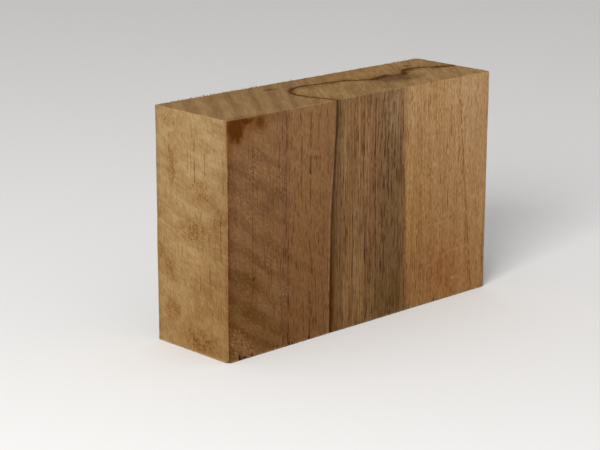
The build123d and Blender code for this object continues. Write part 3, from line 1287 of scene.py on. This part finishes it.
    def resin(self) -> None:
        """The resin stain in the front's top left corner: a dark middle, an orange rim and tail."""
        w, f, tones = self.w, self.f, self.tones
        rim_spots = ((4.2, 3.0, 5.2, 5.8), (1.0, 3.0, 2.0, 8.5), (9.8, 1.6, 5.5, 4.0), (14.5, 2.4, 3.0, 2.8))
        spread = self.stained(0.45, *rim_spots)
        core = self.stained(0.4, (3.4, 2.8, 3.9, 3.9), (5.0, 5.2, 2.0, 2.9), (8.0, 1.2, 3.2, 1.3))
        spot = w.product(self.stained(0.6, (14.1, 2.3, 1.8, 1.8)), 0.75)
        uneven = w.step(f.ragged, 0.30, 0.60, 0.7, 1.0)
        streaky = self.pores(f.warped, 0.7, 4.0, 0.34, 0.34)
        soaked = w.product(w.fall(f.deep, 0.25, 0.7), w.fall(f.end, 0.0, 1.0, 0.18))
        self.cover(tones.resin_rim, spread, uneven, soaked)
        share = w.product(w.most(core, spot), w.total(0.82, w.product(streaky, 0.18)), soaked)
        self.cover(tones.resin, share, w.step(f.down, 0.1, 0.6, 0.6, 1.0))

    def paint(self) -> dict[str, Socket]:
        """Lays all the layers. It gives the colour, the roughness and the relief in millimetres."""
        layers = (
            self.ground, self.figure, self.marks, self.edges,
            self.grain, self.flecks, self.growth_line, self.resin,
        )
        for layer in layers:
            layer()
        roughness = self.w.step(self.f.ragged, 0.2, 0.8, 0.62, 0.74)
        return {"Colour": self.wood, "Roughness": roughness, "Height": self.w.total(*self.reliefs)}


class WalnutColour(Effect):
    """The colour and the fine relief of the block's wood at every place in it."""

    name = "walnut wood"
    takes = (Port("Place", PortKind.VECTOR), Port("Growth"))
    gives = (Port("Colour", PortKind.COLOUR), Port("Roughness"), Port("Height"))

    def __init__(self, size: StockSize, tones: WalnutTones) -> None:
        """Keeps the block's sizes and colours."""
        self.size = size
        self.tones = tones

    def wire(self, w: Wiring, given: dict[str, Socket]) -> dict[str, Socket]:
        """See Effect.wire."""
        return WoodPainter(w, self.size, self.tones, given["Place"], given["Growth"]).paint()


@dataclass(frozen=True)
class WalnutFinish:
    """Raw walnut as the saw leaves it: matt, with open pores."""

    size: StockSize
    name: str = "raw walnut"
    dry: float = 0.0
    tones: WalnutTones = field(default_factory=WalnutTones)
    specular: float = 0.0
    bump: float = 0.6

    def material(self) -> bpy.types.Material:
        """The wood's colour, roughness and relief on a plain shader. The drier it is, the paler."""
        made = bpy.data.materials.new(self.name)
        made.use_nodes = True
        w = Wiring(made.node_tree)
        shader = made.node_tree.nodes["Principled BSDF"]
        place = self.place(w)
        growth = w.node("ShaderNodeAttribute", attribute_name=GROWTH_ATTRIBUTE).outputs["Fac"]
        wood = WalnutColour(self.size, self.tones).place(w, place=place, growth=growth)
        bump = w.node("ShaderNodeBump")
        w.feed(bump.inputs["Strength"], self.bump)
        w.feed(bump.inputs["Distance"], MM)
        w.feed(bump.inputs["Height"], wood["Height"])
        colour = wood["Colour"] if self.dry == 0 else w.blend(self.dry, wood["Colour"], self.tones.fibre)
        w.feed(shader.inputs["Base Color"], colour)
        w.feed(shader.inputs["Roughness"], wood["Roughness"])
        w.feed(shader.inputs["Normal"], bump.outputs["Normal"])
        shader.inputs["Specular IOR Level"].default_value = self.specular
        return made

    def place(self, w: Wiring) -> Socket:
        """Millimetres from the bottom front left corner, out of the piece's own metres."""
        own = w.node("ShaderNodeTexCoord").outputs["Object"]
        scaled = w.vector("MULTIPLY", own, (1 / MM, 1 / MM, 1 / MM))
        return w.vector("SUBTRACT", scaled, tuple(self.size.corner))


def seen_rays(w: Wiring) -> Socket:
    """One for a ray that shows something, and none for a ray that only lights it."""
    path = w.node("ShaderNodeLightPath").outputs
    return w.most(path["Is Camera Ray"], path["Is Glossy Ray"], path["Is Transmission Ray"])


@dataclass(frozen=True)
class FloorFinish:
    """A plain pale floor. What it throws back at the block is kept low, as from the photo's dark ground."""

    seen: Colour = (0.77, 0.76, 0.74)
    thrown_back: Colour = (0.30, 0.30, 0.30)
    roughness: float = 0.9
    specular: float = 0.1

    def material(self) -> bpy.types.Material:
        """One matt shader whose colour depends on whether the ray is seen or only lights something."""
        made = bpy.data.materials.new("pale floor")
        made.use_nodes = True
        w = Wiring(made.node_tree)
        shader = made.node_tree.nodes["Principled BSDF"]
        w.feed(shader.inputs["Base Color"], w.blend(seen_rays(w), self.thrown_back, self.seen))
        w.feed(shader.inputs["Roughness"], self.roughness)
        w.feed(shader.inputs["Specular IOR Level"], self.specular)
        return made


@dataclass
class Studio:
    """The floor, the light and the camera around the block."""

    floor_half: float = 4.0
    sky: Colour = (0.55, 0.55, 0.56)
    seen_sky: Colour = (0.82, 0.82, 0.82)
    key_power: float = 15.0
    key_place: Triple = (-0.92, -0.46, 0.58)
    key_size: float = 0.55
    aim: Triple = (0.0, 0.0, 0.04)
    camera_place: Triple = (-0.44785, -0.45029, 0.20358)
    azimuth: float = -43.944
    elevation: float = 15.172
    roll: float = 0.185
    lens: float = 114.03

    def floor(self) -> bpy.types.Object:
        """A flat sheet at the height that the block stands on."""
        half = self.floor_half
        corners = np.array([[-half, -half, 0], [half, -half, 0], [half, half, 0], [-half, half, 0]])
        made = new_mesh_object("floor", corners, np.array([[0, 1, 2, 3]]))
        made.data.materials.append(FloorFinish().material())
        return made

    def light(self) -> None:
        """An even sky, and one large soft lamp on the left."""
        world = bpy.data.worlds.new("studio")
        bpy.context.scene.world = world
        world.use_nodes = True
        w = Wiring(world.node_tree)
        sky = world.node_tree.nodes["Background"]
        w.feed(sky.inputs["Color"], w.blend(seen_rays(w), self.sky, self.seen_sky))
        lamp = bpy.data.lights.new("key", "AREA")
        lamp.energy = self.key_power
        lamp.size = self.key_size
        key = bpy.data.objects.new("key", lamp)
        key.location = self.key_place
        key.rotation_euler = (Vector(self.aim) - key.location).to_track_quat("-Z", "Y").to_euler()
        bpy.context.scene.collection.objects.link(key)

    def camera(self) -> bpy.types.Object:
        """The camera: it looks back along the direction of azimuth and elevation, turned by the roll."""
        a, e, r = (math.radians(v) for v in (self.azimuth, self.elevation, self.roll))
        back = Vector((math.sin(a) * math.cos(e), -math.cos(a) * math.cos(e), math.sin(e)))
        level = Vector((0, 0, 1)).cross(back).normalized()
        upright = back.cross(level)
        right = math.cos(r) * level + math.sin(r) * upright
        up = back.cross(right)
        turn = Matrix((right, up, back)).transposed().to_4x4()
        data = bpy.data.cameras.new("camera")
        data.lens = self.lens
        data.clip_start = 0.01
        made = bpy.data.objects.new("camera", data)
        made.matrix_world = Matrix.Translation(self.camera_place) @ turn
        bpy.context.scene.collection.objects.link(made)
        bpy.context.scene.camera = made
        return made

    def build(self) -> None:
        """Sets up the whole studio."""
        self.floor()
        self.light()
        self.camera()
        bpy.context.scene.view_settings.view_transform = "Standard"


def rim_runs(size: StockSize) -> dict[str, tuple[RimRun, ...]]:
    """Where loose fibres stand: along the top's back and side rims, and along the front's bottom rim.

    Args:
        size: The block's sizes.

    Returns:
        The stretches of each piece, by its name.
    """
    inset = 0.1
    length, thick, height = size.length, size.thickness - inset, size.height - inset
    up, forward = (0.0, 0.25, 1.0), (0.0, -1.0, 0.15)
    back = (
        (1.0, 10.0, up, 40, 0.6), (10.0, 46.0, up, 190, 0.75, 0.12), (46.0, 105.0, up, 120, 0.4),
        (105.0, length - 0.5, up, 70, 0.55, 0.10), (60.6, 61.4, (0.5, 0.2, 1.0), 5, 1.0, 0.14),
    )
    sides = (
        (length - inset, 14.0, (0.6, 0.0, 1.0), 45, 0.45), (inset, 18.0, (-0.5, 0.0, 1.0), 25, 0.4),
    )
    foot = ((2.0, 40.0, forward, 150, 0.45), (40.0, length - 1.0, forward, 200, 0.3, 0.07))
    top = [RimRun((start, thick, height), (end, thick, height), *rest) for start, end, *rest in back]
    top += [RimRun((x, y, height), (x, thick, height), *rest) for x, y, *rest in sides]
    low = [RimRun((start, 0.15, 0.15), (end, 0.15, 0.15), *rest) for start, end, *rest in foot]
    return {"top_rim_fibres": tuple(top), "foot_rim_fibres": tuple(low)}


def main() -> None:
    """Builds the block and the studio."""
    logging.basicConfig(level=logging.INFO, format="%(name)s: %(message)s")
    size = StockSize.of_node(BLOCK_NODE)
    growth = GrowthLine()
    shell = BlockShell(size, growth, BrokenCorner(), SoftNoise(seed=11))
    block = shell.build()
    block.data.materials.append(WalnutFinish(size).material())
    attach(block, "root")
    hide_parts(BLOCK_NODE)
    log.info("sawn block: %d faces", len(block.data.polygons))

    dry_finish = WalnutFinish(size, name="dry walnut fibre", dry=0.45).material()
    for number, (name, runs) in enumerate(rim_runs(size).items()):
        fibres = RimFibres(name, runs, size, growth, seed=21 + number).build()
        fibres.data.materials.append(dry_finish)
        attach(fibres, "root")
        log.info("%s: %d faces", name, len(fibres.data.polygons))

    Studio().build()
    log.info("studio: floor, sky, key lamp and camera")


if __name__ == "__main__":
    main()
